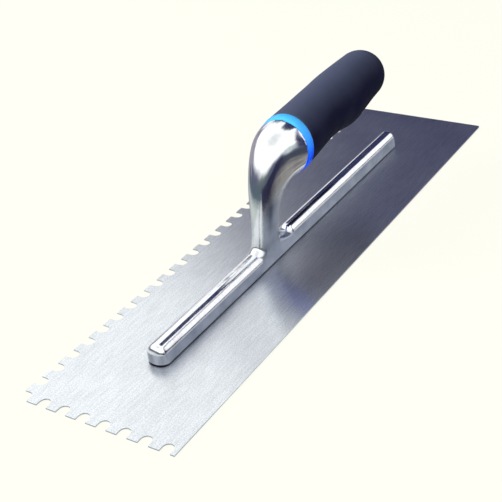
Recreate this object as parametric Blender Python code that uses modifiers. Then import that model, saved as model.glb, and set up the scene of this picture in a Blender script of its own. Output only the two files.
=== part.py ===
"""Notched trowel: a thin stainless blade with U-shaped notches along one long edge and one end,
riveted to a cast aluminium mounting whose swan neck carries a soft-grip handle.

X runs across the blade, +Y along it towards the free end of the grip, and +Z is up.
The origin is the middle of the blade's flat underside.
"""

import math

import bmesh
import bpy
from mathutils import Matrix, Vector

# Driving dimensions, in metres.
BLADE_LENGTH = 0.4064
BLADE_WIDTH = 0.1016
BLADE_THICKNESS = 0.0008
BLADE_CORNER_RADIUS = 0.0018
NOTCH_PITCH = 0.0132
NOTCH_WIDTH = 0.0066
NOTCH_DEPTH = 0.0064

BAR_LENGTH = 0.2990
BAR_BASE_WIDTH = 0.0144
BAR_TOP_WIDTH = 0.0112
BAR_WEB_HEIGHT = 0.0064
BAR_HEIGHT = 0.0116
BAR_END_RADIUS = 0.0066

POST_Y = -0.0289
POST_WIDTH = 0.0120
POST_DEPTH = 0.0191
FOOT_FLARE = 0.0060
NECK_BOW = 0.0037
GRIP_START_Y = -0.0027
GRIP_AXIS_HEIGHT = 0.0636
GRIP_TILT = math.radians(4.0)
COLLAR_TILT = math.radians(-7.0)
GRIP_LENGTH = 0.1248
GRIP_RADIUS = 0.0191
COLLAR_WIDTH = 0.0064
COLLAR_OVERHANG = 0.0011
COLLAR_CHAMFER = 0.0004
UNDER_FLAT = 0.16

RIVET_COUNT = 8
RIVET_SHANK_RADIUS = 0.0020
RIVET_HEAD_RADIUS = 0.0032
RIVET_DEPTH_IN_BAR = 0.0050

# Clearances and wall sizes.
FIT_GAP = 0.0003
TANG_RADIUS = 0.0050
CORE_WALL = 0.0060
GRIP_END_WALL = 0.0160
CUT_MARGIN = 0.0020
WELD = 0.00001

# Mesh resolution.
NOTCH_SEGMENTS = 10
CORNER_SEGMENTS = 4
BAR_CORNER_SEGMENTS = 8
CROWN_CAP_SEGMENTS = 6
NECK_RINGS = 26
NECK_SIDES = 32
GRIP_BODY_RINGS = 20
DOME_RINGS = 8
GRIP_SIDES = 40
TURNED_STEPS = 40
RIVET_STEPS = 24

# Derived places.
BLADE_TOP = BLADE_THICKNESS
BAR_BOTTOM = BLADE_TOP + FIT_GAP
BELL_RADIUS = GRIP_RADIUS - COLLAR_OVERHANG
CORE_RADIUS = TANG_RADIUS + FIT_GAP + CORE_WALL
CORE_LENGTH = GRIP_LENGTH - GRIP_END_WALL
TANG_LENGTH = CORE_LENGTH - CORE_WALL
COLLAR_LEAN = math.tan(GRIP_TILT - COLLAR_TILT)
GRIP_ORIGIN = Vector((0.0, GRIP_START_Y, BLADE_TOP + GRIP_AXIS_HEIGHT))

# Handle shape along its axis: share of the grip's length, then the upper and the lower radius
# as shares of the grip radius. The underside dips for the fingers and swells behind them.
GRIP_STATIONS = (
    (0.00, 1.00, 1.00),
    (0.14, 0.995, 0.935),
    (0.24, 0.995, 0.875),
    (0.34, 1.00, 0.840),
    (0.45, 0.985, 0.920),
    (0.56, 0.975, 1.040),
    (0.67, 0.955, 0.990),
    (0.78, 0.925, 0.920),
    (0.86, 0.895, 0.890),
)
DOME_END = math.radians(82.0)
LEAN_FADE = 0.5 * GRIP_LENGTH

# Neck sections from the foot to the bell: share of the way up, half width as a share of the
# post's width, and squareness, where 2 is an ellipse.
NECK_STATIONS = (
    (0.00, 0.56, 3.4),
    (0.20, 0.48, 3.0),
    (0.40, 0.67, 2.8),
    (0.65, 0.96, 2.4),
    (0.85, 1.20, 2.2),
)
FOOT_FADE = 0.09
FOOT_FADE_POWER = 1.5

# How the flattening underneath grows up the neck, and how closely it keeps to the underside.
FLAT_GROWTH = 3
FLAT_POWER = 4

# Pull of the neck's front and rear edge where they leave the bar and where they meet the bell,
# as shares of the grip's height.
FRONT_LEAVE = 0.68
FRONT_ARRIVE = 0.53
REAR_LEAVE = 0.40
REAR_ARRIVE = 0.26

# Gap from the middle of the post to each crown of the bar, and how far a crown's round end runs
# past the bar before it is trimmed.
CROWN_SETBACK = 0.78 * POST_DEPTH
CROWN_OVERRUN = BAR_TOP_WIDTH / 4.0


def clear_scene():
    for old in list(bpy.data.objects):
        bpy.data.objects.remove(old, do_unlink=True)


def new_collection(name):
    collection = bpy.data.collections.new(name)
    bpy.context.scene.collection.children.link(collection)
    return collection


def principled(name, colour, roughness, metallic):
    material = bpy.data.materials.new(name)
    material.use_nodes = True
    shader = material.node_tree.nodes["Principled BSDF"]
    shader.inputs["Base Color"].default_value = (*colour, 1.0)
    shader.inputs["Roughness"].default_value = roughness
    shader.inputs["Metallic"].default_value = metallic
    return material


def add_object(name, mesh, collection, material=None):
    obj = bpy.data.objects.new(name, mesh)
    collection.objects.link(obj)
    if material:
        mesh.materials.append(material)
    return obj


def as_cutter(obj):
    obj.hide_render = True
    obj.display_type = "WIRE"
    return obj


def smooth(obj, angle=math.radians(35.0)):
    obj.data.shade_smooth()
    obj.data.set_sharp_from_angle(angle=angle)


def boolean(target, operand, operation):
    modifier = target.modifiers.new(operation.title(), "BOOLEAN")
    modifier.operation = operation
    if isinstance(operand, bpy.types.Collection):
        modifier.operand_type = "COLLECTION"
        modifier.collection = operand
    else:
        modifier.object = operand


def through(stations, share):
    """Values at a share of the way along hand-set stations, on a smooth curve through them."""
    last = len(stations) - 1
    index = 0
    while index < last - 1 and share > stations[index + 1][0]:
        index += 1
    before, left = stations[max(index - 1, 0)], stations[index]
    right, after = stations[index + 1], stations[min(index + 2, last)]
    span = right[0] - left[0]
    t = min(max((share - left[0]) / span, 0.0), 1.0)
    values = []
    for k in range(1, len(left)):
        leave = (right[k] - before[k]) / (right[0] - before[0]) * span
        arrive = (after[k] - left[k]) / (after[0] - left[0]) * span
        values.append(left[k] * (2 * t ** 3 - 3 * t ** 2 + 1) + leave * (t ** 3 - 2 * t ** 2 + t)
                      + right[k] * (3 * t ** 2 - 2 * t ** 3) + arrive * (t ** 3 - t ** 2))
    return values


def arc(centre_x, centre_y, radius, start, end, segments):
    points = []
    for i in range(segments + 1):
        angle = start + (end - start) * i / segments
        points.append((centre_x + radius * math.cos(angle), centre_y + radius * math.sin(angle)))
    return points


def prism(name, outline, depth, collection):
    """A flat outline in X and Y with its thickness in Z, centred on its own plane."""
    curve = bpy.data.curves.new(name, "CURVE")
    curve.dimensions = "2D"
    curve.fill_mode = "BOTH"
    curve.extrude = depth / 2.0
    spline = curve.splines.new("POLY")
    spline.points.add(len(outline) - 1)
    for point, (x, y) in zip(spline.points, outline):
        point.co = (x, y, 0.0, 1.0)
    spline.use_cyclic_u = True
    guide = bpy.data.objects.new(name + "_outline", curve)
    collection.objects.link(guide)
    bpy.context.view_layer.update()
    evaluated = guide.evaluated_get(bpy.context.evaluated_depsgraph_get())
    mesh = bpy.data.meshes.new_from_object(evaluated)
    bpy.data.objects.remove(guide, do_unlink=True)
    bpy.data.curves.remove(curve)
    welded = bmesh.new()
    welded.from_mesh(mesh)
    bmesh.ops.remove_doubles(welded, verts=welded.verts, dist=WELD)
    bmesh.ops.recalc_face_normals(welded, faces=welded.faces)
    welded.to_mesh(mesh)
    welded.free()
    mesh.materials.clear()
    mesh.name = name
    return mesh


def turned(name, profile, steps):
    """A radius-height profile turned about Z."""
    line = bpy.data.meshes.new(name + "_profile")
    line.from_pydata([(r, 0.0, z) for r, z in profile],
                     [(i, i + 1) for i in range(len(profile) - 1)], [])
    guide = bpy.data.objects.new(name + "_profile", line)
    bpy.context.scene.collection.objects.link(guide)
    screw = guide.modifiers.new("Turn", "SCREW")
    screw.angle = math.tau
    screw.steps = steps
    screw.render_steps = steps
    screw.use_merge_vertices = True
    screw.merge_threshold = WELD
    screw.use_smooth_shade = True
    evaluated = guide.evaluated_get(bpy.context.evaluated_depsgraph_get())
    mesh = bpy.data.meshes.new_from_object(evaluated)
    mesh.name = name
    bpy.data.objects.remove(guide, do_unlink=True)
    bpy.data.meshes.remove(line)
    return mesh


def loft(name, rings):
    """Closed skin through rings of equal point count, capped at both ends."""
    skin = bmesh.new()
    rows = [[skin.verts.new(point) for point in ring] for ring in rings]
    count = len(rows[0])
    for lower, upper in zip(rows, rows[1:]):
        for i in range(count):
            j = (i + 1) % count
            skin.faces.new((lower[i], lower[j], upper[j], upper[i]))
    skin.faces.new(list(reversed(rows[0])))
    skin.faces.new(rows[-1])
    bmesh.ops.recalc_face_normals(skin, faces=skin.faces)
    mesh = bpy.data.meshes.new(name)
    skin.to_mesh(mesh)
    skin.free()
    return mesh


def along_grip(distance, x, rise):
    """World point at a distance along the grip's axis, offset across and up from it."""
    axis = Vector((0.0, math.cos(GRIP_TILT), math.sin(GRIP_TILT)))
    upward = Vector((0.0, -math.sin(GRIP_TILT), math.cos(GRIP_TILT)))
    return GRIP_ORIGIN + axis * distance + Vector((x, 0.0, 0.0)) + upward * rise


def under_share(sine, weight):
    """Radius share that flattens a round section underneath, where the sine of its angle is negative."""
    return 1.0 - UNDER_FLAT * weight * max(0.0, -sine) ** FLAT_POWER


def on_grip_axis(name, profile):
    """A profile turned about the grip's axis, flattened underneath, its ends leaning with the collar."""
    mesh = turned(name, profile, TURNED_STEPS)
    for vertex in mesh.vertices:
        radius = math.hypot(vertex.co.x, vertex.co.y)
        if radius > WELD:
            under = under_share(-vertex.co.y / radius, 1.0)
            vertex.co.x *= under
            vertex.co.y *= under
    lean = Matrix.Identity(4)
    lean[2][1] = -COLLAR_LEAN
    turn = Matrix.Rotation(GRIP_TILT - math.pi / 2.0, 4, "X")
    mesh.transform(Matrix.Translation(GRIP_ORIGIN) @ turn @ lean)
    return mesh


def notch_count(edge_length):
    return int((edge_length - NOTCH_WIDTH) / NOTCH_PITCH) + 1


def blade_outline():
    """Blade seen from above, from the notched near end round to the notched long edge."""
    left, right = -BLADE_WIDTH / 2.0, BLADE_WIDTH / 2.0
    near, far = -BLADE_LENGTH / 2.0, BLADE_LENGTH / 2.0
    radius = NOTCH_WIDTH / 2.0
    root = NOTCH_DEPTH - radius
    points = [(left + NOTCH_WIDTH, near)]
    for k in range(1, notch_count(BLADE_WIDTH)):
        middle = left + k * NOTCH_PITCH + radius
        points.append((middle - radius, near))
        points += arc(middle, near + root, radius, math.pi, 0.0, NOTCH_SEGMENTS)
        points.append((middle + radius, near))
    corner = BLADE_CORNER_RADIUS
    points.append((right, near))
    points += arc(right - corner, far - corner, corner, 0.0, math.pi / 2.0, CORNER_SEGMENTS)
    points.append((left, far))
    for k in range(notch_count(BLADE_LENGTH) - 1, 0, -1):
        middle = near + k * NOTCH_PITCH + radius
        points.append((left, middle + radius))
        points += arc(left + root, middle, radius, math.pi / 2.0, -math.pi / 2.0, NOTCH_SEGMENTS)
        points.append((left, middle - radius))
    points.append((left, near + NOTCH_WIDTH))
    inner = NOTCH_WIDTH - radius
    points += arc(left + inner, near + inner, radius, math.pi / 2.0, 0.0, NOTCH_SEGMENTS // 2)
    return points


def rivet_profile(clearance, below):
    """Countersunk rivet from its flush head up to the end of its shank."""
    top = BAR_BOTTOM + RIVET_DEPTH_IN_BAR + clearance
    shank = RIVET_SHANK_RADIUS + clearance
    head = RIVET_HEAD_RADIUS + clearance
    profile = [(0.0, top), (shank, top), (shank, BLADE_TOP), (head, 0.0)]
    if below > 0.0:
        profile.append((head, -below))
    profile.append((0.0, -below))
    return profile


def rivet_places():
    first = -BAR_LENGTH / 2.0 + BAR_BASE_WIDTH
    spacing = -2.0 * first / (RIVET_COUNT - 1)
    return [first + i * spacing for i in range(RIVET_COUNT)]


def make_blade(collection, holes):
    mesh = prism("blade", blade_outline(), BLADE_THICKNESS, collection)
    mesh.transform(Matrix.Translation((0.0, 0.0, BLADE_THICKNESS / 2.0)))
    steel = principled("brushed_steel", (0.62, 0.64, 0.67), 0.32, 1.0)
    blade = add_object("blade", mesh, collection, steel)
    boolean(blade, holes, "DIFFERENCE")


def make_rivets(collection, cutters):
    holes = bpy.data.collections.new("rivet_holes")
    cutters.children.link(holes)
    steel = principled("rivet_steel", (0.56, 0.57, 0.59), 0.35, 1.0)
    rivet_mesh = turned("rivet", rivet_profile(0.0, 0.0), RIVET_STEPS)
    rivet_mesh.materials.append(steel)
    hole_mesh = turned("rivet_hole", rivet_profile(FIT_GAP, CUT_MARGIN), RIVET_STEPS)
    for number, y in enumerate(rivet_places(), start=1):
        rivet = add_object("rivet_%d" % number, rivet_mesh, collection)
        hole = as_cutter(add_object("rivet_hole_%d" % number, hole_mesh, holes))
        rivet.location.y = y
        hole.location.y = y
    return holes


def bar_web(collection):
    """Tapered lower part of the bar: its section drawn flat, then stood up along Y."""
    base, top = BAR_BASE_WIDTH / 2.0, BAR_TOP_WIDTH / 2.0
    section = [(-base, 0.0), (base, 0.0), (top, BAR_WEB_HEIGHT), (-top, BAR_WEB_HEIGHT)]
    mesh = prism("bar_web", section, BAR_LENGTH + 2.0 * CUT_MARGIN, collection)
    mesh.transform(Matrix.Translation((0.0, 0.0, BAR_BOTTOM)) @ Matrix.Rotation(math.pi / 2.0, 4, "X"))
    return mesh


def bar_bead(name, start, end, cutters):
    """Polished round crown of the bar: a turned capsule lying along Y."""
    radius = BAR_TOP_WIDTH / 2.0 - FIT_GAP
    length = end - start
    cap = [(radius * math.cos(a), radius * math.sin(a)) for a in
           [math.pi / 2.0 * i / CROWN_CAP_SEGMENTS for i in range(CROWN_CAP_SEGMENTS + 1)]]
    profile = [(r, length - radius + z) for r, z in reversed(cap)]
    profile += [(r, radius - z) for r, z in cap]
    profile[0] = (0.0, length)
    profile[-1] = (0.0, 0.0)
    bead = as_cutter(add_object(name, turned(name, profile, TURNED_STEPS), cutters))
    bead.location = (0.0, start, BAR_BOTTOM + BAR_HEIGHT - radius)
    bead.rotation_euler.x = -math.pi / 2.0
    return bead


def bar_end_shape(cutters):
    """Plan outline of the bar with rounded corners, used to trim its ends."""
    reach = BAR_LENGTH / 2.0
    radius = BAR_END_RADIUS
    inner = BAR_BASE_WIDTH / 2.0 + FIT_GAP - radius
    points = []
    corners = ((inner, -reach + radius, -math.pi / 2.0), (inner, reach - radius, 0.0),
               (-inner, reach - radius, math.pi / 2.0), (-inner, -reach + radius, math.pi))
    for x, y, start in corners:
        points += arc(x, y, radius, start, start + math.pi / 2.0, BAR_CORNER_SEGMENTS)
    mesh = prism("bar_plan", points, 4.0 * BAR_HEIGHT, cutters)
    return as_cutter(add_object("bar_plan", mesh, cutters))


def bezier(start, leave, arrive, end, t):
    k = 1.0 - t
    return start * k ** 3 + leave * 3.0 * t * k ** 2 + arrive * 3.0 * t ** 2 * k + end * t ** 3


def neck_rails(share):
    """Front and rear edge of the swan neck in its middle plane, as Y and Z."""
    forward = Vector((math.cos(COLLAR_TILT), math.sin(COLLAR_TILT)))
    upward = Vector((-math.sin(COLLAR_TILT), math.cos(COLLAR_TILT)))
    middle = Vector((GRIP_START_Y, BLADE_TOP + GRIP_AXIS_HEIGHT))
    bell = upward * BELL_RADIUS
    base = BAR_BOTTOM + FIT_GAP
    front_y, rear_y = POST_Y - POST_DEPTH / 2.0, POST_Y + POST_DEPTH / 2.0
    front_leave = Vector((front_y - NECK_BOW, BLADE_TOP + FRONT_LEAVE * GRIP_AXIS_HEIGHT))
    front_arrive = middle + bell - forward * FRONT_ARRIVE * GRIP_AXIS_HEIGHT
    front = bezier(Vector((front_y, base)), front_leave, front_arrive, middle + bell, share)
    rear_leave = Vector((rear_y, BLADE_TOP + REAR_LEAVE * GRIP_AXIS_HEIGHT))
    rear_arrive = middle - bell - forward * REAR_ARRIVE * GRIP_AXIS_HEIGHT
    rear = bezier(Vector((rear_y, base)), rear_leave, rear_arrive, middle - bell, share)
    return front, rear


def neck_rings():
    """Sections of the swan neck: a rounded oblong that flares forward at its foot and swells to a bell."""
    stations = NECK_STATIONS + ((1.0, BELL_RADIUS / POST_WIDTH, 2.0),)
    rings = []
    for i in range(NECK_RINGS + 1):
        share = i / NECK_RINGS
        half_width, square = through(stations, share)
        front, rear = neck_rails(share)
        front += (front - rear).normalized() * FOOT_FLARE * math.exp(-(share / FOOT_FADE) ** FOOT_FADE_POWER)
        centre = (front + rear) / 2.0
        reach = (front - rear) / 2.0
        ring = []
        for k in range(NECK_SIDES):
            angle = math.tau * k / NECK_SIDES
            c, s = math.cos(angle), math.sin(angle)
            under = under_share(s, share ** FLAT_GROWTH)
            x = under * half_width * POST_WIDTH * math.copysign(abs(c) ** (2.0 / square), c)
            d = under * math.copysign(abs(s) ** (2.0 / square), s)
            ring.append((x, centre.x + reach.x * d, centre.y + reach.y * d))
        rings.append(ring)
    return rings


def make_mounting(collection, cutters, holes):
    """One casting: tapered bar with a round crown, swan neck and the tang inside the grip."""
    aluminium = principled("cast_aluminium", (0.80, 0.81, 0.82), 0.16, 1.0)
    mounting = add_object("mounting", bar_web(cutters), collection, aluminium)
    reach = BAR_LENGTH / 2.0
    near = bar_bead("crown_near", -reach - CROWN_OVERRUN, POST_Y - CROWN_SETBACK, cutters)
    far = bar_bead("crown_far", POST_Y + CROWN_SETBACK, reach + CROWN_OVERRUN, cutters)
    boolean(mounting, near, "UNION")
    boolean(mounting, far, "UNION")
    boolean(mounting, bar_end_shape(cutters), "INTERSECT")
    neck = as_cutter(add_object("neck", loft("neck", neck_rings()), cutters))
    boolean(mounting, neck, "UNION")
    root = -TANG_RADIUS
    profile = [(0.0, TANG_LENGTH), (TANG_RADIUS, TANG_LENGTH), (TANG_RADIUS, root), (0.0, root)]
    tang = on_grip_axis("tang", profile)
    boolean(mounting, as_cutter(add_object("tang", tang, cutters)), "UNION")
    boolean(mounting, holes, "DIFFERENCE")
    smooth(mounting)


def make_grip_core(collection):
    """Hard inner sleeve with a blind bore for the tang; only its front collar shows."""
    bore = TANG_RADIUS + FIT_GAP
    profile = [
        (0.0, CORE_LENGTH),
        (CORE_RADIUS, CORE_LENGTH),
        (CORE_RADIUS, COLLAR_WIDTH),
        (GRIP_RADIUS, COLLAR_WIDTH),
        (GRIP_RADIUS - COLLAR_CHAMFER, FIT_GAP + COLLAR_CHAMFER),
        (BELL_RADIUS, FIT_GAP),
        (bore, FIT_GAP),
        (bore, TANG_LENGTH + FIT_GAP),
        (0.0, TANG_LENGTH + FIT_GAP),
    ]
    plastic = principled("blue_plastic", (0.02, 0.27, 0.95), 0.25, 0.0)
    core = on_grip_axis("grip_core", profile)
    smooth(add_object("grip_core", core, collection, plastic))


def grip_ring(distance, upper, lower):
    fade = max(0.0, 1.0 - distance / LEAN_FADE) ** 2 / (1.0 - COLLAR_WIDTH / LEAN_FADE) ** 2
    ring = []
    for k in range(GRIP_SIDES):
        angle = math.tau * k / GRIP_SIDES
        sine = math.sin(angle)
        radius = (lower + (upper - lower) * (1.0 + sine) / 2.0) * under_share(sine, fade)
        rise = radius * sine
        ring.append(along_grip(distance + COLLAR_LEAN * fade * rise, radius * math.cos(angle), rise))
    return ring


def grip_rings():
    """Sections of the soft grip from the collar to the closed dome at its free end."""
    start = COLLAR_WIDTH + FIT_GAP
    dome_share = GRIP_STATIONS[-1][0]
    rings = []
    for i in range(GRIP_BODY_RINGS + 1):
        share = dome_share * i / GRIP_BODY_RINGS
        distance = max(start, share * GRIP_LENGTH)
        upper, lower = through(GRIP_STATIONS, share)
        if i == 0 or distance > start:
            rings.append(grip_ring(distance, upper * GRIP_RADIUS, lower * GRIP_RADIUS))
    upper, lower = GRIP_STATIONS[-1][1:]
    dome_start = dome_share * GRIP_LENGTH
    for i in range(1, DOME_RINGS + 1):
        angle = DOME_END * i / DOME_RINGS
        distance = dome_start + (GRIP_LENGTH - dome_start) * math.sin(angle)
        shrink = math.cos(angle) * GRIP_RADIUS
        rings.append(grip_ring(distance, upper * shrink, lower * shrink))
    return rings


def make_soft_grip(collection, cutters):
    """Soft sleeve over the core: dipped and swollen underneath, with a domed end."""
    rubber = principled("soft_rubber", (0.030, 0.034, 0.052), 0.62, 0.0)
    grip = add_object("soft_grip", loft("soft_grip", grip_rings()), collection, rubber)
    radius = CORE_RADIUS + FIT_GAP
    end = CORE_LENGTH + FIT_GAP
    profile = [(0.0, end), (radius, end), (radius, 0.0), (0.0, 0.0)]
    bore = on_grip_axis("grip_bore", profile)
    boolean(grip, as_cutter(add_object("grip_bore", bore, cutters)), "DIFFERENCE")
    smooth(grip)


def main():
    clear_scene()
    trowel = new_collection("notched_trowel")
    cutters = new_collection("cutters")
    holes = make_rivets(trowel, cutters)
    make_blade(trowel, holes)
    make_mounting(trowel, cutters, holes)
    make_grip_core(trowel)
    make_soft_grip(trowel, cutters)


main()
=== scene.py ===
"""Studio scene of a notched trowel: polished mounting, brushed blade and soft grip on a pale floor."""

import math

import bmesh
import bpy
from mathutils import Matrix, Vector


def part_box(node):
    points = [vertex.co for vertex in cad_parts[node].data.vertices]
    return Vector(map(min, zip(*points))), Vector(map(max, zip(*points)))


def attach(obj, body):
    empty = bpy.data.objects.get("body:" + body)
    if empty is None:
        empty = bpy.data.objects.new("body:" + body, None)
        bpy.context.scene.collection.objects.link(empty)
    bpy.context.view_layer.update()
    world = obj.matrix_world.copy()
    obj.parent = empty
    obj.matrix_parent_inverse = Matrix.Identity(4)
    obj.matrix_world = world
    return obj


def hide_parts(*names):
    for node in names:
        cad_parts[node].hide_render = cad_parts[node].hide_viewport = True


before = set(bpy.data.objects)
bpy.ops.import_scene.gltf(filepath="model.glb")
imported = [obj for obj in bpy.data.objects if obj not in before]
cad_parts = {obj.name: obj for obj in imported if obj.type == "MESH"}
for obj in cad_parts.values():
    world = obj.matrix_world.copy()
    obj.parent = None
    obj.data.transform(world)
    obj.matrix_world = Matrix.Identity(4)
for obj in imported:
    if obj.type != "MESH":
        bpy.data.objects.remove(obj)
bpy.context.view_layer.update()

# Camera, measured from the blade's edges in the photograph.
CAMERA_TARGET = Vector((-0.0146, -0.0255, 0.0008))
CAMERA_DISTANCE = 0.6424
CAMERA_AZIMUTH = math.radians(34.30)
CAMERA_ELEVATION = math.radians(30.69)
CAMERA_ROLL = math.radians(-5.66)
CAMERA_LENS_MM = 72.75
CAMERA_SENSOR_MM = 36.0

# The bar on the blade, in metres as all sizes here.
BLADE_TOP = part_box("blade")[1].z
FIT_GAP = 0.0003
BAR_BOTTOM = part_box("mounting")[0].z
BAR_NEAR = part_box("mounting")[0].y
BAR_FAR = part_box("mounting")[1].y
BAR_BASE_WIDTH = 0.0144
BAR_TOP_WIDTH = 0.0112
BAR_WEB_HEIGHT = 0.0064
BAR_WEB_TOP = BAR_BOTTOM + BAR_WEB_HEIGHT
BAR_HEIGHT = 0.0116
BAR_END_RADIUS = 0.0066

# The round crowns on the bar. An end swells from its tip over its depth, more squarely with its power.
NEAR_CROWN_RADIUS = 0.0064
FAR_CROWN_RADIUS = 0.0053
CROWN_END_DEPTH = 0.0045
CROWN_END_POWER = 2.6
CROWN_TIP_SHARE = 0.02

# Post and swan neck. The foot's flare fades over a share of the neck.
POST_Y = -0.0289
POST_WIDTH = 0.0120
POST_DEPTH = 0.0191
FAR_CROWN_START = POST_Y + 1.10 * POST_DEPTH
FOOT_FLARE = 0.0060
FOOT_FADE = 0.09
FOOT_FADE_POWER = 1.5
FOOT_RADIUS = 0.0075
SADDLE_LOW = 0.0012
SADDLE_HIGH = 0.0080
NECK_BOW = 0.0037

# Shares of the grip's height by which the neck's front and rear edges leave the post and reach the bell.
FRONT_LEAVE = 0.68
FRONT_ARRIVE = 0.53
REAR_LEAVE = 0.40
REAR_ARRIVE = 0.26

# Hollow in the neck's front edge just below the bell's rim.
BELL_HOLLOW = 0.020
BELL_HOLLOW_POWER = 6

# Grip and collar.
GRIP_START_Y = -0.0027
GRIP_AXIS_HEIGHT = 0.0636
GRIP_TILT = math.radians(4.0)
GRIP_LENGTH = 0.1248
GRIP_RADIUS = 0.0191
GRIP_LIP = 0.0005
GRIP_INNER_RADIUS = 0.7 * GRIP_RADIUS
GRIP_DOME_END = math.radians(88.0)
GRIP_ORIGIN = Vector((0.0, GRIP_START_Y, BLADE_TOP + GRIP_AXIS_HEIGHT))
COLLAR_TILT = math.radians(-7.0)
COLLAR_LEAN = math.tan(GRIP_TILT - COLLAR_TILT)
COLLAR_WIDTH = 0.0064
COLLAR_EDGE = 0.0005
COLLAR_LIP = 0.00015
COLLAR_CHAMFER_WIDTH = 0.0010
COLLAR_CHAMFER_DEPTH = 0.0004
COLLAR_INNER_RADIUS = 0.6 * GRIP_RADIUS
BELL_RADIUS = GRIP_RADIUS - 0.0005

# Flattening under the bell and the collar, and how it grows up the neck and round the section.
UNDER_FLAT = 0.16
FLAT_GROWTH = 3
FLAT_POWER = 4
LEAN_FADE = 0.5 * GRIP_LENGTH

# Share along the grip, then its upper and lower radius as shares of the grip radius.
GRIP_STATIONS = (
    (0.00, 1.00, 1.00),
    (0.14, 0.995, 0.935),
    (0.24, 0.995, 0.875),
    (0.34, 1.00, 0.840),
    (0.45, 0.985, 0.920),
    (0.56, 0.975, 1.040),
    (0.67, 0.955, 0.990),
    (0.78, 0.925, 0.920),
    (0.86, 0.895, 0.890),
)

# Share up the neck, then its half width as a share of the post's width and its squareness.
NECK_STATIONS = (
    (0.00, 0.56, 3.4),
    (0.20, 0.48, 3.0),
    (0.40, 0.67, 2.8),
    (0.65, 0.96, 2.4),
    (0.85, 1.27, 2.2),
    (1.00, BELL_RADIUS / POST_WIDTH, 2.0),
)

# Fineness of the rebuilt pieces.
NECK_RINGS = 110
NECK_SIDES = 96
GRIP_RINGS = 90
GRIP_DOME_RINGS = 30
GRIP_SIDES = 128
BAR_STEPS = 40
BAR_END_STEPS = 14
BAR_SIDES = 48
FOOT_STEPS = 16
CAST_VOXEL = 0.00045
CAST_SMOOTHING = 14
CAST_SMOOTH_FACTOR = 0.5

# Ranges of a noise pattern that are spread over a whole change of colour or roughness.
WIDE_NOISE = (0.3, 0.7)
MIDDLE_NOISE = (0.35, 0.65)
NARROW_NOISE = (0.4, 0.6)

# Brushed blade. A pattern here and below is its marks per metre along X, Y and Z, then its detail.
STEEL_GRAIN = (2200.0, 110.0, 2200.0, 6.0)
STEEL_STREAK = (900.0, 80.0, 900.0, 2.0)
STEEL_CLOUD = (22.0, 22.0, 22.0, 3.0)
STEEL_GLINT = (1300.0, 1300.0, 1300.0, 1.0)
STEEL_SHARE = (0.0, 0.5)
STEEL_DARK = (0.72, 0.74, 0.75)
STEEL_LIGHT = (0.91, 0.93, 0.94)
GLINT_DARK = (0.86, 0.86, 0.88)
GLINT_LIGHT = (1.06, 1.06, 1.06)
STEEL_ROUGHNESS = (0.30, 0.35)
STEEL_ANISOTROPY = 0.82
STEEL_ACROSS_GRAIN = (1.0, 0.01, 0.01)

# Polished and satin casting.
CAST_WAVE = (60.0, 60.0, 60.0, 2.0)
CAST_GRIT = (1500.0, 1500.0, 1500.0, 3.0)
CAST_STREAK = (420.0, 420.0, 40.0, 4.0)
CAST_MARKS = (170.0, 70.0, 90.0, 4.0)
POLISH_DARK = (0.82, 0.83, 0.84)
POLISH_LIGHT = (0.92, 0.93, 0.93)
POLISH_ROUGHNESS = (0.09, 0.18)
SATIN_DARK = (0.28, 0.32, 0.39)
SATIN_LIGHT = (0.41, 0.45, 0.53)
SATIN_ROUGHNESS = (0.30, 0.42)
CAST_BUMP = (0.12, 0.002)

# Where the satin lies: on the post's flanks by how far they face sideways, their height and their
# distance from the post, and on the web up to its top. That edge is raised round the post and in the
# valley behind it, and lowered back to the web's top along the near crown.
FLANK_TURN = (0.55, 0.9)
FLANK_TOP = (0.040, 0.058)
FLANK_REACH = (0.011, 0.015)
VALLEY_REACH = (0.018, 0.024)
VALLEY_RAISE = (0.0030, 0.0002)
NEAR_REACH = (-0.016, -0.010)
NEAR_LOWER = (0.0030, 0.0)
WEB_EDGE = (BAR_WEB_TOP, BAR_WEB_TOP + 0.0010)
NOSE_REACH = (BAR_NEAR + 0.002, BAR_NEAR + 0.007)
NOSE_SATIN = (0.8, 1.0)

# Painted light on the satin: painted shade in a streak up the post, a painted highlight along its rear
# edge, streaked painted shade on the nose of the bar and painted contact shade in a dark line at the
# blade.
HOLLOW_OFFSET = -0.0032
HOLLOW_REACH = (0.0, 0.0046)
HOLLOW_STRENGTH = (0.9, 0.0)
HOLLOW_RISE = (0.016, 0.034)
HOLLOW_PAINTED_SHADE = (0.09, 0.10, 0.15)
REAR_REACH = (0.0010, 0.0050)
REAR_STRENGTH = (0.0, 0.7)
REAR_RISE = (0.014, 0.022)
REAR_PAINTED_HIGHLIGHT = (0.62, 0.65, 0.68)
NOSE_FRONT = (BAR_NEAR + 0.0015, BAR_NEAR + 0.0050)
NOSE_STRENGTH = (0.9, 0.0)
NOSE_STREAK = (0.25, 1.0)
NOSE_PAINTED_SHADE = (0.12, 0.13, 0.18)
CONTACT_SHADE_RISE = (BAR_BOTTOM + 0.0002, BAR_BOTTOM + 0.0008)
CONTACT_PAINTED_SHADE = (0.03, 0.035, 0.06)

# Ground rivets.
RIVET_SWIRL = (900.0, 900.0, 900.0, 4.0)
RIVET_DARK = (0.42, 0.43, 0.45)
RIVET_LIGHT = (0.62, 0.63, 0.65)
RIVET_ROUGHNESS = (0.3, 0.45)
RIVET_BUMP = (0.1, 0.0001)

# Blue collar, with a painted highlight that pales it towards its top.
PLASTIC_MOTTLE = (300.0, 300.0, 300.0, 3.0)
PLASTIC_HIGHLIGHT_RISE = (GRIP_ORIGIN.z - 0.1 * GRIP_RADIUS, GRIP_ORIGIN.z + 0.9 * GRIP_RADIUS)
PLASTIC_LOW = (0.001, 0.09, 1.0)
PLASTIC_PAINTED_HIGHLIGHT = (0.08, 0.50, 1.0)
PLASTIC_SPECULAR = 0.04
PLASTIC_ROUGHNESS = (0.22, 0.32)
PLASTIC_BUMP = (0.05, 0.0001)
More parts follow.
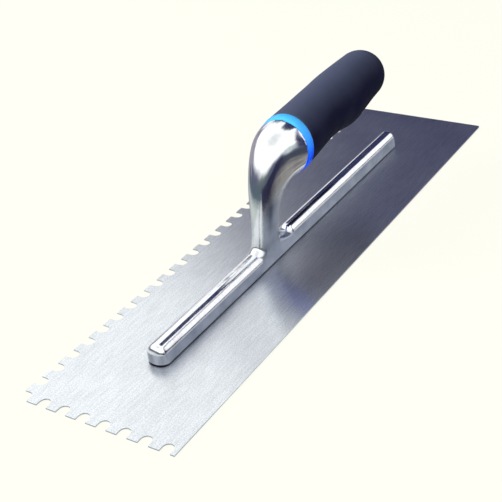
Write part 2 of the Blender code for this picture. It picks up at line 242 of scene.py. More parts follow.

# Soft grip, with painted light: paler on the side that turns up and to the left.
RUBBER_PORES = (2600.0, 2600.0, 2600.0, 4.0)
RUBBER_CLOUD = (45.0, 45.0, 45.0, 3.0)
RUBBER_PAINTED_LIT_SIDE = Vector((-0.65, -0.25, 0.72)).normalized()
RUBBER_TURN = (-0.5, 1.0)
RUBBER_UNEVEN = (-0.056, 0.056)
RUBBER_DARK = (0.004, 0.0045, 0.018)
RUBBER_LIGHT = (0.066, 0.078, 0.128)
RUBBER_SPECULAR = 0.06
RUBBER_ROUGHNESS = (0.55, 0.68)
RUBBER_BUMP = (0.25, 0.0002)

# Paper floor, and the backdrop that it and the world show to the camera.
BACKDROP_COLOUR = (1.0, 1.0, 0.905)
FLOOR_SIZE = 6.0
FLOOR_HEIGHT = -0.0004
FLOOR_GLOW = 0.94
PAPER_FIBRE = (400.0, 400.0, 400.0, 3.0)
PAPER_DARK = (0.90, 0.90, 0.82)
PAPER_LIGHT = (0.94, 0.94, 0.86)
PAPER_ROUGHNESS = 0.9

# Painted reflection: the glow the floor shows to glossy rays, so in polished metal, in place of the lit
# paper. A reach is a distance from the middle of the blade.
SIDE_SPLIT_X = (0.052, 0.056)
LEFT_SPLIT_Y = (-0.10, 0.05)
FRONT_REACH = (0.16, 0.32)
FRONT_CLOSE = (0.60, 0.66, 0.64)
FRONT_DISTANT = (0.10, 0.14, 0.18)
LEFT_BACK = (0.38, 0.36, 0.42)
RIGHT_SPLIT_Y = (-0.04, 0.02)
RIGHT_FRONT_X = (0.058, 0.075)
RIGHT_FRONT_CLOSE = (0.80, 0.83, 0.83)
RIGHT_FRONT_DISTANT = (0.03, 0.03, 0.07)
RIGHT_BLOTCH = (45.0, 45.0, 45.0, 3.0)
RIGHT_BACK_DARK = (0.13, 0.14, 0.17)
RIGHT_BACK_LIGHT = (0.46, 0.43, 0.38)
RIGHT_BACK_REACH = (0.12, 0.26)
RIGHT_BACK_DISTANT = (0.06, 0.07, 0.10)

# The room that the metal mirrors. Each surface is painted over those before it: its bearing from
# +Y towards +X and its height in degrees, the angles from there where it starts to fade and ends,
# and its brightness.
ROOM_COLOUR = (0.115, 0.125, 0.20)
ROOM = (
    (165.0, -5.0, 30.0, 50.0, (0.11, 0.14, 0.16)),
    (0.0, 90.0, 68.0, 82.0, (1.30, 1.33, 1.35)),
    (0.0, 90.0, 2.0, 32.0, (0.92, 0.94, 0.96)),
    (-85.0, -18.0, 30.0, 42.0, (0.36, 0.33, 0.40)),
    (0.0, 0.0, 44.5, 47.0, (0.032, 0.036, 0.10)),
    (35.0, 8.0, 30.0, 36.0, (0.032, 0.036, 0.10)),
    (2.0, 42.0, 14.0, 18.0, (0.04, 0.045, 0.11)),
    (32.0, 16.0, 19.0, 24.0, (1.15, 1.15, 1.20)),
    (-42.0, 6.0, 5.0, 10.0, (1.10, 1.10, 1.15)),
    (80.0, 12.0, 5.0, 12.0, (0.60, 0.68, 0.68)),
    (98.0, -2.0, 8.0, 14.0, (0.03, 0.03, 0.08)),
    (60.0, -3.0, 7.0, 12.0, (0.06, 0.065, 0.09)),
)
ROOM_RIPPLE = 0.16
ROOM_RIPPLE_SCALE = 6.0
ROOM_RIPPLE_DETAIL = 3.0
ROOM_FILL = 0.45

# Each lamp's name, place, width in metres and power in watts.
LAMPS = (
    ("key_left", (-1.2, -0.56, 0.95), 0.7, 26.0),
    ("fill_right", (1.1, -0.9, 0.7), 0.9, 16.0),
)
LAMP_AIM = Vector((0.0, -0.03, 0.03))


def through(stations, share):
    """Values at a share of the way along listed stations, on a smooth curve through them."""
    last = len(stations) - 1
    index = 0
    while index < last - 1 and share > stations[index + 1][0]:
        index += 1
    before, left = stations[max(index - 1, 0)], stations[index]
    right, after = stations[index + 1], stations[min(index + 2, last)]
    span = right[0] - left[0]
    t = min(max((share - left[0]) / span, 0.0), 1.0)
    values = []
    for k in range(1, len(left)):
        leave = (right[k] - before[k]) / (right[0] - before[0]) * span
        arrive = (after[k] - left[k]) / (after[0] - left[0]) * span
        values.append(left[k] * (2 * t ** 3 - 3 * t ** 2 + 1) + leave * (t ** 3 - 2 * t ** 2 + t)
                      + right[k] * (3 * t ** 2 - 2 * t ** 3) + arrive * (t ** 3 - t ** 2))
    return values


def bezier(start, leave, arrive, end, t):
    """Point on a cubic curve from start to end, with two handles."""
    k = 1.0 - t
    return start * k ** 3 + leave * 3.0 * t * k ** 2 + arrive * 3.0 * t ** 2 * k + end * t ** 3


def circle(sides):
    """Cosine and sine at even steps round a circle."""
    turns = [math.tau * k / sides for k in range(sides)]
    return [(math.cos(turn), math.sin(turn)) for turn in turns]


def skin(rings):
    """A bmesh through rings of equal point count, with a cap at each end."""
    made = bmesh.new()
    rows = [[made.verts.new(point) for point in ring] for ring in rings]
    count = len(rows[0])
    for lower, upper in zip(rows, rows[1:]):
        for i in range(count):
            j = (i + 1) % count
            made.faces.new((lower[i], lower[j], upper[j], upper[i]))
    made.faces.new(list(reversed(rows[0])))
    made.faces.new(rows[-1])
    bmesh.ops.recalc_face_normals(made, faces=made.faces)
    return made


def to_mesh(made, name):
    mesh = bpy.data.meshes.new(name)
    made.to_mesh(mesh)
    made.free()
    mesh.shade_smooth()
    return mesh


def neck_rails(share):
    """Front and rear edge of the swan neck in its middle plane, as Y and Z."""
    forward = Vector((math.cos(COLLAR_TILT), math.sin(COLLAR_TILT)))
    upward = Vector((-math.sin(COLLAR_TILT), math.cos(COLLAR_TILT)))
    middle = Vector((GRIP_START_Y, BLADE_TOP + GRIP_AXIS_HEIGHT))
    rim = upward * BELL_RADIUS
    base = BAR_BOTTOM + FIT_GAP
    front_y = POST_Y - POST_DEPTH / 2.0
    rear_y = POST_Y + POST_DEPTH / 2.0
    front = bezier(Vector((front_y, base)),
                   Vector((front_y - NECK_BOW, BLADE_TOP + FRONT_LEAVE * GRIP_AXIS_HEIGHT)),
                   middle + rim - forward * FRONT_ARRIVE * GRIP_AXIS_HEIGHT,
                   middle + rim, share)
    front -= upward * BELL_HOLLOW * share ** BELL_HOLLOW_POWER * (1.0 - share)
    rear = bezier(Vector((rear_y, base)),
                  Vector((rear_y, BLADE_TOP + REAR_LEAVE * GRIP_AXIS_HEIGHT)),
                  middle - rim - forward * REAR_ARRIVE * GRIP_AXIS_HEIGHT,
                  middle - rim, share)
    return front, rear


def under_share(sine, weight):
    """Radius share that flattens a round section underneath, where the sine of its angle is negative."""
    return 1.0 - UNDER_FLAT * weight * max(0.0, -sine) ** FLAT_POWER


def neck_rings():
    """Sections of the neck from its foot to the bell's rim, each a rounded square between the rails."""
    rings = []
    for i in range(NECK_RINGS + 1):
        share = i / NECK_RINGS
        half_width, square = through(NECK_STATIONS, share)
        front, rear = neck_rails(share)
        flare = FOOT_FLARE * math.exp(-(share / FOOT_FADE) ** FOOT_FADE_POWER)
        front += (front - rear).normalized() * flare
        centre = (front + rear) / 2.0
        reach = (front - rear) / 2.0
        ring = []
        for c, s in circle(NECK_SIDES):
            under = under_share(s, share ** FLAT_GROWTH)
            x = under * half_width * POST_WIDTH * math.copysign(abs(c) ** (2.0 / square), c)
            d = under * math.copysign(abs(s) ** (2.0 / square), s)
            ring.append((x, centre.x + reach.x * d, centre.y + reach.y * d))
        rings.append(ring)
    return rings


def plan_half_width(y):
    """Half width of the bar's plan at a place along it, where its ends are rounded."""
    reach = (BAR_FAR - BAR_NEAR) / 2.0
    into = abs(y - (BAR_FAR + BAR_NEAR) / 2.0) - (reach - BAR_END_RADIUS)
    flat = BAR_BASE_WIDTH / 2.0 + FIT_GAP - BAR_END_RADIUS
    return flat + math.sqrt(max(BAR_END_RADIUS ** 2 - max(into, 0.0) ** 2, 0.0))


def end_spaced(low, high, depth):
    """Places from low to high, closer together within a depth of each end."""
    turns = [math.pi / 2.0 * i / BAR_END_STEPS for i in range(BAR_END_STEPS + 1)]
    places = [low + depth * (1.0 - math.cos(turn)) for turn in turns]
    span = high - low - 2.0 * depth
    inner = [low + depth + span * i / BAR_STEPS for i in range(1, BAR_STEPS)]
    return places + inner + [low + high - place for place in reversed(places)]


def bar_web_rings():
    """Sections of the tapered lower bar, narrowing round its ends."""
    near = (NEAR_CROWN_RADIUS, BAR_BOTTOM + BAR_HEIGHT - NEAR_CROWN_RADIUS)
    far = (BAR_TOP_WIDTH / 2.0, BAR_WEB_TOP)
    rings = []
    for y in end_spaced(BAR_NEAR, BAR_FAR, BAR_END_RADIUS):
        top, high = near if y < POST_Y else far
        base = min(BAR_BASE_WIDTH / 2.0, plan_half_width(y))
        top = min(top, plan_half_width(y))
        rings.append([(-base, y, BAR_BOTTOM), (base, y, BAR_BOTTOM), (top, y, high), (-top, y, high)])
    return rings


def crown_rings(radius, start, end):
    """Sections of one round crown of the bar, which closes in a blunt round at each end."""
    height = BAR_BOTTOM + BAR_HEIGHT - radius
    rings = []
    for y in end_spaced(start, end, CROWN_END_DEPTH):
        from_end = min(y - start, end - y, CROWN_END_DEPTH) / CROWN_END_DEPTH
        swell = (1.0 - (1.0 - from_end) ** CROWN_END_POWER) ** (1.0 / CROWN_END_POWER)
        section = radius * max(swell, CROWN_TIP_SHARE)
        limit = plan_half_width(y)
        ring = []
        for c, s in circle(BAR_SIDES):
            x = min(max(section * c, -limit), limit)
            ring.append((x, y, max(height + section * s, BAR_BOTTOM + FIT_GAP)))
        rings.append(ring)
    return rings


def foot_rings():
    """Sections of the hollow rise from the near crown up the front of the post."""
    half = NEAR_CROWN_RADIUS
    height = BAR_BOTTOM + BAR_HEIGHT - half
    start = POST_Y - POST_DEPTH / 2.0 - FOOT_RADIUS
    rings = []
    for i in range(FOOT_STEPS + 1):
        into = FOOT_RADIUS * math.sin(math.pi / 2.0 * i / FOOT_STEPS)
        rise = FOOT_RADIUS - math.sqrt(FOOT_RADIUS ** 2 - into ** 2)
        ring = []
        for c, s in circle(BAR_SIDES):
            lift = half + rise if s > 0.0 else half
            ring.append((half * c, start + into, max(height + lift * s, BAR_BOTTOM + FIT_GAP)))
        rings.append(ring)
    rings.append([(x, POST_Y, z) for x, y, z in rings[-1]])
    return rings


def saddle_rings():
    """Sections of the low saddle between the back of the post and the far crown."""
    half = BAR_TOP_WIDTH / 2.0
    start = POST_Y + POST_DEPTH / 4.0
    end = FAR_CROWN_START + FAR_CROWN_RADIUS / 2.0
    rings = []
    for i in range(FOOT_STEPS + 1):
        share = i / FOOT_STEPS
        rise = SADDLE_LOW + (SADDLE_HIGH - SADDLE_LOW) * (1.0 - share) ** 2
        ring = []
        for c, s in circle(BAR_SIDES):
            lift = rise if s > 0.0 else BAR_WEB_HEIGHT / 2.0
            ring.append((half * c, start + (end - start) * share, BAR_WEB_TOP + lift * s))
        rings.append(ring)
    return rings


def cast_union(bodies, name):
    """Overlapping bodies fused into one casting with softened inner corners."""
    rough = bpy.data.meshes.new(name + "_rough")
    together = bmesh.new()
    for made in bodies:
        part = bpy.data.meshes.new(name + "_body")
        made.to_mesh(part)
        made.free()
        together.from_mesh(part)
        bpy.data.meshes.remove(part)
    together.to_mesh(rough)
    together.free()
    blank = bpy.data.objects.new(name + "_rough", rough)
    bpy.context.scene.collection.objects.link(blank)
    remesh = blank.modifiers.new("Fuse", "REMESH")
    remesh.mode = "VOXEL"
    remesh.voxel_size = CAST_VOXEL
    soften = blank.modifiers.new("Soften", "SMOOTH")
    soften.factor = CAST_SMOOTH_FACTOR
    soften.iterations = CAST_SMOOTHING
    fused = blank.evaluated_get(bpy.context.evaluated_depsgraph_get())
    mesh = bpy.data.meshes.new_from_object(fused)
    mesh.name = name
    mesh.shade_smooth()
    bpy.data.objects.remove(blank, do_unlink=True)
    bpy.data.meshes.remove(rough)
    return mesh


def along_grip(distance, x, rise):
    """Point at a distance along the grip's axis and a rise square to it."""
    axis = Vector((0.0, math.cos(GRIP_TILT), math.sin(GRIP_TILT)))
    upward = Vector((0.0, -math.sin(GRIP_TILT), math.cos(GRIP_TILT)))
    return GRIP_ORIGIN + axis * distance + Vector((x, 0.0, 0.0)) + upward * rise


def grip_ring(distance, upper, lower):
    """Section of the grip, which leans with the collar at first and then stands square."""
    fade = max(0.0, 1.0 - distance / LEAN_FADE) ** 2 / (1.0 - COLLAR_WIDTH / LEAN_FADE) ** 2
    ring = []
    for c, s in circle(GRIP_SIDES):
        radius = (lower + (upper - lower) * (1.0 + s) / 2.0) * under_share(s, fade)
        ring.append(along_grip(distance + COLLAR_LEAN * fade * radius * s, radius * c, radius * s))
    return ring


def collar_ring(distance, radius):
    """Section of the collar, which leans from the grip's axis."""
    ring = []
    for c, s in circle(GRIP_SIDES):
        near = radius * under_share(s, 1.0)
        ring.append(along_grip(distance + COLLAR_LEAN * near * s, near * c, near * s))
    return ring


def soft_grip_rings():
    """Sections of the soft sleeve from its front lip to its domed end."""
    start = COLLAR_WIDTH + FIT_GAP
    dome_share, dome_upper, dome_lower = GRIP_STATIONS[-1]
    dome_start = dome_share * GRIP_LENGTH
    rings = [collar_ring(start, GRIP_INNER_RADIUS), collar_ring(start, GRIP_RADIUS - GRIP_LIP)]
    for i in range(GRIP_RINGS + 1):
        distance = start + GRIP_LIP + (dome_start - start - GRIP_LIP) * i / GRIP_RINGS
        upper, lower = through(GRIP_STATIONS, distance / GRIP_LENGTH)
        rings.append(grip_ring(distance, upper * GRIP_RADIUS, lower * GRIP_RADIUS))
    for i in range(1, GRIP_DOME_RINGS + 1):
        angle = GRIP_DOME_END * i / GRIP_DOME_RINGS
        distance = dome_start + (GRIP_LENGTH - dome_start) * math.sin(angle)
        shrink = math.cos(angle) * GRIP_RADIUS
        rings.append(grip_ring(distance, dome_upper * shrink, dome_lower * shrink))
    return rings


def collar_rings():
    """The blue collar: a band with softened edges, closed behind the bell and the grip."""
    front = FIT_GAP
    back = COLLAR_WIDTH
    return [
        collar_ring(front, COLLAR_INNER_RADIUS),
        collar_ring(front, BELL_RADIUS - COLLAR_EDGE),
        collar_ring(front + COLLAR_LIP, BELL_RADIUS),
        collar_ring(front + COLLAR_CHAMFER_WIDTH, GRIP_RADIUS - COLLAR_CHAMFER_DEPTH),
        collar_ring(back - COLLAR_EDGE, GRIP_RADIUS),
        collar_ring(back, GRIP_RADIUS - COLLAR_EDGE),
        collar_ring(back, COLLAR_INNER_RADIUS),
    ]


def opaque(colour):
    """A plain colour with full alpha; anything else as it is."""
    return (*colour, 1.0) if isinstance(colour, tuple) else colour


class Nodes:
    """Adds nodes to one tree. Values are outputs or plain numbers, and each result is an output."""

    def __init__(self, tree):
        self.tree = tree
        coordinates = self.add("ShaderNodeTexCoord")
        self.place = coordinates.outputs["Object"]
        self.normal = coordinates.outputs["Normal"]
        self.direction = coordinates.outputs["Generated"]

    def add(self, kind, **settings):
        node = self.tree.nodes.new(kind)
        for name, value in settings.items():
            setattr(node, name, value)
        return node

    def put(self, value, socket):
        """Links an output to a socket, or sets the socket to a plain value."""
        if isinstance(value, bpy.types.NodeSocket):
            self.tree.links.new(value, socket)
        else:
            socket.default_value = value

    def fill(self, node, values):
        """Puts values into a node's sockets in their order."""
        for value, socket in zip(values, node.inputs):
            self.put(value, socket)

    def noise(self, pattern):
        *density, detail = pattern
        scaled = self.add("ShaderNodeMapping")
        self.put(density, scaled.inputs["Scale"])
        self.put(self.place, scaled.inputs["Vector"])
        noise = self.add("ShaderNodeTexNoise")
        self.put(1.0, noise.inputs["Scale"])
        self.put(detail, noise.inputs["Detail"])
        self.put(scaled.outputs["Vector"], noise.inputs["Vector"])
        return noise.outputs["Fac"]

    def ramp(self, value, source, target=(0.0, 1.0), curve="LINEAR"):
        """Maps a value from one range to another, which it doesn't leave."""
        node = self.add("ShaderNodeMapRange", interpolation_type=curve)
        for name, limit in zip(("From Min", "From Max", "To Min", "To Max"), (*source, *target)):
            self.put(limit, node.inputs[name])
        self.put(value, node.inputs["Value"])
        return node.outputs["Result"]

    def calculate(self, operation, *values):
        node = self.add("ShaderNodeMath", operation=operation)
        self.fill(node, values)
        return node.outputs["Value"]

    def vector(self, operation, *values, result="Vector"):
        node = self.add("ShaderNodeVectorMath", operation=operation)
        self.fill(node, values)
        return node.outputs[result]

    def split(self, vector):
        """The X, Y and Z of a vector, by name."""
        node = self.add("ShaderNodeSeparateXYZ")
        self.put(vector, node.inputs["Vector"])
        return node.outputs

    def blend(self, factor, first, second, data_type="RGBA", blend_type="MIX"):
        """First where the factor is 0, and second where it is 1."""
        node = self.add("ShaderNodeMix", data_type=data_type, blend_type=blend_type)
        self.put(factor, node.inputs["Factor"])
        self.put(opaque(first), node.inputs["A"])
        self.put(opaque(second), node.inputs["B"])
        return node.outputs["Result"]

    def emission(self, colour):
        node = self.add("ShaderNodeEmission")
        self.put(opaque(colour), node.inputs["Color"])
        return node.outputs["Emission"]

    def blend_shaders(self, factor, first, second):
        node = self.add("ShaderNodeMixShader")
        self.fill(node, (factor, first, second))
        return node.outputs["Shader"]


class Surface(Nodes):
    """The node tree of one material, round its main shader."""

    def __init__(self, name):
        self.material = bpy.data.materials.new(name)
        self.material.use_nodes = True
        super().__init__(self.material.node_tree)
        self.shader = self.tree.nodes["Principled BSDF"]

    def set(self, socket, value):
        self.put(value, self.shader.inputs[socket])

    def bump(self, height, strength, distance):
        node = self.add("ShaderNodeBump")
        self.put(strength, node.inputs["Strength"])
        self.put(distance, node.inputs["Distance"])
        self.put(height, node.inputs["Height"])
        self.set("Normal", node.outputs["Normal"])


def brushed_steel():
    """Stainless sheet with a fine grain along its length."""
    steel = Surface("blade_brushed_steel")
    grain = steel.ramp(steel.noise(STEEL_GRAIN), WIDE_NOISE, STEEL_SHARE)
    streak = steel.ramp(steel.noise(STEEL_STREAK), MIDDLE_NOISE, STEEL_SHARE)
    sheet = steel.blend(steel.calculate("ADD", grain, streak), STEEL_DARK, STEEL_LIGHT)
    glint = steel.ramp(steel.noise(STEEL_GLINT), NARROW_NOISE)
    sparkle = steel.blend(glint, GLINT_DARK, GLINT_LIGHT)
    steel.set("Base Color", steel.blend(1.0, sheet, sparkle, blend_type="MULTIPLY"))
    steel.set("Metallic", 1.0)
    steel.set("Roughness", steel.ramp(steel.noise(STEEL_CLOUD), WIDE_NOISE, STEEL_ROUGHNESS))
    steel.set("Anisotropic", STEEL_ANISOTROPY)
    across = steel.add("ShaderNodeCombineXYZ")
    steel.fill(across, STEEL_ACROSS_GRAIN)
    steel.set("Tangent", across.outputs["Vector"])
    return steel.material


def satin_share(cast, place, past_post):
    """How satin the casting is: the post's flanks and the lower bar, and less so the bar's nose."""
    flank = cast.ramp(cast.calculate("ABSOLUTE", cast.split(cast.normal)["X"]), FLANK_TURN)
    below = cast.ramp(place["Z"], FLANK_TOP, (1.0, 0.0))
    beside = cast.ramp(cast.calculate("ABSOLUTE", past_post), FLANK_REACH, (1.0, 0.0))
    flank = cast.calculate("MULTIPLY", cast.calculate("MULTIPLY", flank, below), beside)
    height = cast.calculate("SUBTRACT", place["Z"], cast.ramp(past_post, VALLEY_REACH, VALLEY_RAISE))
    height = cast.calculate("ADD", height, cast.ramp(past_post, NEAR_REACH, NEAR_LOWER))
    nose = cast.ramp(place["Y"], NOSE_REACH, NOSE_SATIN)
    web = cast.calculate("MULTIPLY", cast.ramp(height, WEB_EDGE, (1.0, 0.0)), nose)
    return cast.calculate("MAXIMUM", flank, web)


def satin_colour(cast, place, past_post, streak):
    """Uneven grey of the satin, with painted shade and painted highlight bands laid over it."""
    marks = cast.ramp(cast.noise(CAST_MARKS), MIDDLE_NOISE)
    colour = cast.blend(marks, SATIN_DARK, SATIN_LIGHT)
    # Painted shade: a dark streak up the post's flank.
    off_hollow = cast.calculate("ABSOLUTE", cast.calculate("SUBTRACT", past_post, HOLLOW_OFFSET))
    hollow_shade = cast.ramp(off_hollow, HOLLOW_REACH, HOLLOW_STRENGTH, "SMOOTHSTEP")
    # Painted highlight: lighter towards the post's rear edge and behind it, growing with height.
    rear = cast.ramp(past_post, REAR_REACH, REAR_STRENGTH)
    # Painted shade, broken by streaks, on the near nose of the bar.
    nose = cast.ramp(place["Y"], NOSE_FRONT, NOSE_STRENGTH)
    # Lays the painted shade and painted highlight bands over the satin.
    for painted_band, limit, painted_tone in (
            (hollow_shade, cast.ramp(place["Z"], HOLLOW_RISE), HOLLOW_PAINTED_SHADE),
            (rear, cast.ramp(place["Z"], REAR_RISE), REAR_PAINTED_HIGHLIGHT),
            (nose, cast.ramp(streak, NARROW_NOISE, NOSE_STREAK), NOSE_PAINTED_SHADE)):
        colour = cast.blend(cast.calculate("MULTIPLY", painted_band, limit), colour, painted_tone)
    return colour


def polished_aluminium():
    """Buffed casting: bright and faintly wavy, with satin on the post's flanks and the lower bar."""
    cast = Surface("mounting_polished_aluminium")
    place = cast.split(cast.place)
    past_post = cast.calculate("SUBTRACT", place["Y"], POST_Y)
    streak = cast.noise(CAST_STREAK)
    wave = cast.noise(CAST_WAVE)
    satin = satin_share(cast, place, past_post)
    bright = cast.blend(cast.ramp(streak, WIDE_NOISE), POLISH_DARK, POLISH_LIGHT)
    finish = cast.blend(satin, bright, satin_colour(cast, place, past_post, streak))
    # Painted contact shade: a dark line along the casting's foot where it meets the blade.
    contact_shade = cast.ramp(place["Z"], CONTACT_SHADE_RISE, (1.0, 0.0))
    cast.set("Base Color", cast.blend(contact_shade, finish, CONTACT_PAINTED_SHADE))
    cast.set("Metallic", 1.0)
    polish = cast.ramp(wave, WIDE_NOISE, POLISH_ROUGHNESS)
    grit = cast.ramp(cast.noise(CAST_GRIT), WIDE_NOISE, SATIN_ROUGHNESS)
    cast.set("Roughness", cast.blend(satin, polish, grit, data_type="FLOAT"))
    cast.bump(wave, *CAST_BUMP)
    return cast.material


def rivet_steel():
    """Rivet heads ground flush with the blade."""
    steel = Surface("rivet_ground_steel")
    swirl = steel.noise(RIVET_SWIRL)
    steel.set("Base Color", steel.blend(swirl, RIVET_DARK, RIVET_LIGHT))
    steel.set("Metallic", 1.0)
    steel.set("Roughness", steel.ramp(swirl, WIDE_NOISE, RIVET_ROUGHNESS))
    steel.bump(swirl, *RIVET_BUMP)
    return steel.material


def blue_plastic():
    """Moulded collar in blue, with a painted highlight that pales it towards the top."""
    plastic = Surface("collar_blue_plastic")
    mottle = plastic.noise(PLASTIC_MOTTLE)
    # Painted highlight: the blue pales with height.
    upward = plastic.ramp(plastic.split(plastic.place)["Z"], PLASTIC_HIGHLIGHT_RISE)
    plastic.set("Base Color", plastic.blend(upward, PLASTIC_LOW, PLASTIC_PAINTED_HIGHLIGHT))
    plastic.set("Specular IOR Level", PLASTIC_SPECULAR)
    plastic.set("Roughness", plastic.ramp(mottle, WIDE_NOISE, PLASTIC_ROUGHNESS))
    plastic.bump(mottle, *PLASTIC_BUMP)
    return plastic.material


def soft_rubber():
    """Matt, finely pored sleeve, with uneven painted light that pales one side."""
    rubber = Surface("grip_soft_rubber")
    cloud = rubber.noise(RUBBER_CLOUD)
    # Painted light: paler where the sleeve faces up and to the left, with an uneven edge.
    facing = rubber.vector("DOT_PRODUCT", rubber.normal, RUBBER_PAINTED_LIT_SIDE, result="Value")
    turned = rubber.ramp(facing, RUBBER_TURN, curve="SMOOTHSTEP")
    painted_light_share = rubber.calculate("ADD", turned, rubber.ramp(cloud, WIDE_NOISE, RUBBER_UNEVEN))
    rubber.set("Base Color", rubber.blend(painted_light_share, RUBBER_DARK, RUBBER_LIGHT))
    rubber.set("Specular IOR Level", RUBBER_SPECULAR)
    rubber.set("Roughness", rubber.ramp(cloud, WIDE_NOISE, RUBBER_ROUGHNESS))
    rubber.bump(rubber.noise(RUBBER_PORES), *RUBBER_BUMP)
    return rubber.material


def add_piece(name, mesh, replaced, material):
    piece = bpy.data.objects.new(name, mesh)
    bpy.context.scene.collection.objects.link(piece)
    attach(piece, "root")
    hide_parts(*replaced)
    mesh.materials.append(material)


def dress(node, material):
    node.data.materials.clear()
    node.data.materials.append(material)


def build_pieces():
    """The rebuilt casting, collar and grip, and materials for the blade and the rivets."""
    casting = cast_union([
        skin(bar_web_rings()),
        skin(crown_rings(NEAR_CROWN_RADIUS, BAR_NEAR, POST_Y)),
        skin(crown_rings(FAR_CROWN_RADIUS, FAR_CROWN_START, BAR_FAR)),
        skin(foot_rings()),
        skin(saddle_rings()),
        skin(neck_rings()),
    ], "mounting_cast")
    collar = to_mesh(skin(collar_rings()), "grip_collar")
    sleeve = to_mesh(skin(soft_grip_rings()), "grip_sleeve")
    add_piece("mounting_cast", casting, ["mounting"], polished_aluminium())
    add_piece("grip_collar", collar, ["grip_core"], blue_plastic())
    add_piece("grip_sleeve", sleeve, ["soft_grip"], soft_rubber())
    dress(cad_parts["blade"], brushed_steel())
    rivet = rivet_steel()
    for name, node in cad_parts.items():
        if name.startswith("rivet_"):
            dress(node, rivet)


def painted_floor_reflection(paper):
    """Painted reflection of the floor in polished metal: graded on the left, pale then dark on the right.
    """
    place = paper.split(paper.place)
    reach = paper.vector("LENGTH", paper.place, result="Value")
    front = paper.blend(paper.ramp(reach, FRONT_REACH), FRONT_CLOSE, FRONT_DISTANT)
    left = paper.blend(paper.ramp(place["Y"], LEFT_SPLIT_Y), front, LEFT_BACK)
    outward = paper.ramp(place["X"], RIGHT_FRONT_X)
    right_front = paper.blend(outward, RIGHT_FRONT_CLOSE, RIGHT_FRONT_DISTANT)
    blotch = paper.ramp(paper.noise(RIGHT_BLOTCH), MIDDLE_NOISE)
    right_back = paper.blend(blotch, RIGHT_BACK_DARK, RIGHT_BACK_LIGHT)
    right_back = paper.blend(paper.ramp(reach, RIGHT_BACK_REACH), right_back, RIGHT_BACK_DISTANT)
    right = paper.blend(paper.ramp(place["Y"], RIGHT_SPLIT_Y), right_front, right_back)
    return paper.blend(paper.ramp(place["X"], SIDE_SPLIT_X), left, right)


def floor_paper():
    """Pale paper: plain to the camera with a faint shadow, a painted graded glow in polished metal, clear
    from below.
    """
    paper = Surface("floor_paper")
    paper.set("Base Color", paper.blend(paper.noise(PAPER_FIBRE), PAPER_DARK, PAPER_LIGHT))
    paper.set("Roughness", PAPER_ROUGHNESS)
    path = paper.add("ShaderNodeLightPath").outputs
    seen = paper.calculate("MULTIPLY", path["Is Camera Ray"], FLOOR_GLOW)
    lit = paper.blend_shaders(seen, paper.shader.outputs["BSDF"], paper.emission(BACKDROP_COLOUR))
    # Glossy rays see the painted reflection glow in place of the lit paper.
    lit = paper.blend_shaders(path["Is Glossy Ray"], lit, paper.emission(painted_floor_reflection(paper)))
    below = paper.add("ShaderNodeNewGeometry").outputs["Backfacing"]
    clear = paper.add("ShaderNodeBsdfTransparent").outputs["BSDF"]
    surface = paper.tree.nodes["Material Output"].inputs["Surface"]
    paper.put(paper.blend_shaders(below, lit, clear), surface)
    return paper.material


def add_floor():
    mesh = bpy.data.meshes.new("floor")
    made = bmesh.new()
    bmesh.ops.create_grid(made, x_segments=1, y_segments=1, size=FLOOR_SIZE / 2.0)
    made.to_mesh(mesh)
    made.free()
    mesh.materials.append(floor_paper())
    floor = bpy.data.objects.new("floor", mesh)
    floor.location.z = FLOOR_HEIGHT
    bpy.context.scene.collection.objects.link(floor)


def bearing_vector(bearing, height):
    """Unit vector from degrees clockwise of +Y, seen from above, and degrees above the floor."""
    turn = math.radians(bearing)
    lift = math.radians(height)
    return Vector((math.sin(turn) * math.cos(lift), math.cos(turn) * math.cos(lift), math.sin(lift)))


def rippled_direction(studio):
    """The direction looked in, bent a little by noise so that the edges in the room waver."""
    ripple = studio.add("ShaderNodeTexNoise")
    studio.put(ROOM_RIPPLE_SCALE, ripple.inputs["Scale"])
    studio.put(ROOM_RIPPLE_DETAIL, ripple.inputs["Detail"])
    studio.put(studio.direction, ripple.inputs["Vector"])
    width = (ROOM_RIPPLE,) * 3
    centre = (-ROOM_RIPPLE / 2.0,) * 3
    sway = studio.vector("MULTIPLY_ADD", ripple.outputs["Color"], width, centre)
    return studio.vector("NORMALIZE", studio.vector("ADD", studio.direction, sway))


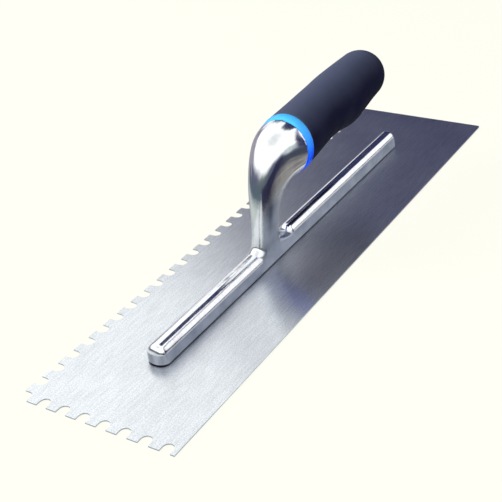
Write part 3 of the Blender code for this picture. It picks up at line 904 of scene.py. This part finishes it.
def add_world():
    """Plain to the camera; in reflections and as fill, a dim room with soft bright panels."""
    world = bpy.data.worlds.new("studio")
    bpy.context.scene.world = world
    world.use_nodes = True
    studio = Nodes(world.node_tree)
    direction = rippled_direction(studio)
    light = ROOM_COLOUR
    for bearing, height, inner, outer, colour in ROOM:
        toward = bearing_vector(bearing, height)
        facing = studio.vector("DOT_PRODUCT", direction, toward, result="Value")
        fade = (math.cos(math.radians(outer)), math.cos(math.radians(inner)))
        light = studio.blend(studio.ramp(facing, fade, curve="SMOOTHSTEP"), light, colour)
    path = studio.add("ShaderNodeLightPath").outputs
    level = studio.ramp(path["Is Glossy Ray"], (0.0, 1.0), (ROOM_FILL, 1.0))
    room = world.node_tree.nodes["Background"]
    studio.put(light, room.inputs["Color"])
    studio.put(level, room.inputs["Strength"])
    plain = studio.add("ShaderNodeBackground")
    studio.put(opaque(BACKDROP_COLOUR), plain.inputs["Color"])
    room_light = room.outputs["Background"]
    plain_light = plain.outputs["Background"]
    seen = studio.blend_shaders(path["Is Camera Ray"], room_light, plain_light)
    studio.put(seen, world.node_tree.nodes["World Output"].inputs["Surface"])


def add_lights():
    """Square softboxes for the plastic, rubber and floor. The metal mirrors the room instead."""
    for name, place, width, power in LAMPS:
        light = bpy.data.lights.new(name, "AREA")
        light.size = width
        light.energy = power
        lamp = bpy.data.objects.new(name, light)
        lamp.location = place
        lamp.rotation_euler = (LAMP_AIM - Vector(place)).to_track_quat("-Z", "Y").to_euler()
        lamp.visible_glossy = False
        bpy.context.scene.collection.objects.link(lamp)


def add_camera():
    """Camera at the photograph's viewing angle, rolled a little about its axis."""
    back = Vector((math.sin(CAMERA_AZIMUTH) * math.cos(CAMERA_ELEVATION),
                   -math.cos(CAMERA_AZIMUTH) * math.cos(CAMERA_ELEVATION),
                   math.sin(CAMERA_ELEVATION)))
    level = Vector((math.cos(CAMERA_AZIMUTH), math.sin(CAMERA_AZIMUTH), 0.0))
    upright = back.cross(level)
    right = level * math.cos(CAMERA_ROLL) + upright * math.sin(CAMERA_ROLL)
    up = upright * math.cos(CAMERA_ROLL) - level * math.sin(CAMERA_ROLL)
    data = bpy.data.cameras.new("camera")
    data.lens = CAMERA_LENS_MM
    data.sensor_width = CAMERA_SENSOR_MM
    camera = bpy.data.objects.new("camera", data)
    turn = Matrix((right, up, back)).transposed().to_4x4()
    camera.matrix_world = Matrix.Translation(CAMERA_TARGET + back * CAMERA_DISTANCE) @ turn
    bpy.context.scene.collection.objects.link(camera)
    bpy.context.scene.camera = camera


build_pieces()
add_floor()
add_world()
add_lights()
add_camera()
bpy.context.scene.view_settings.view_transform = "Standard"
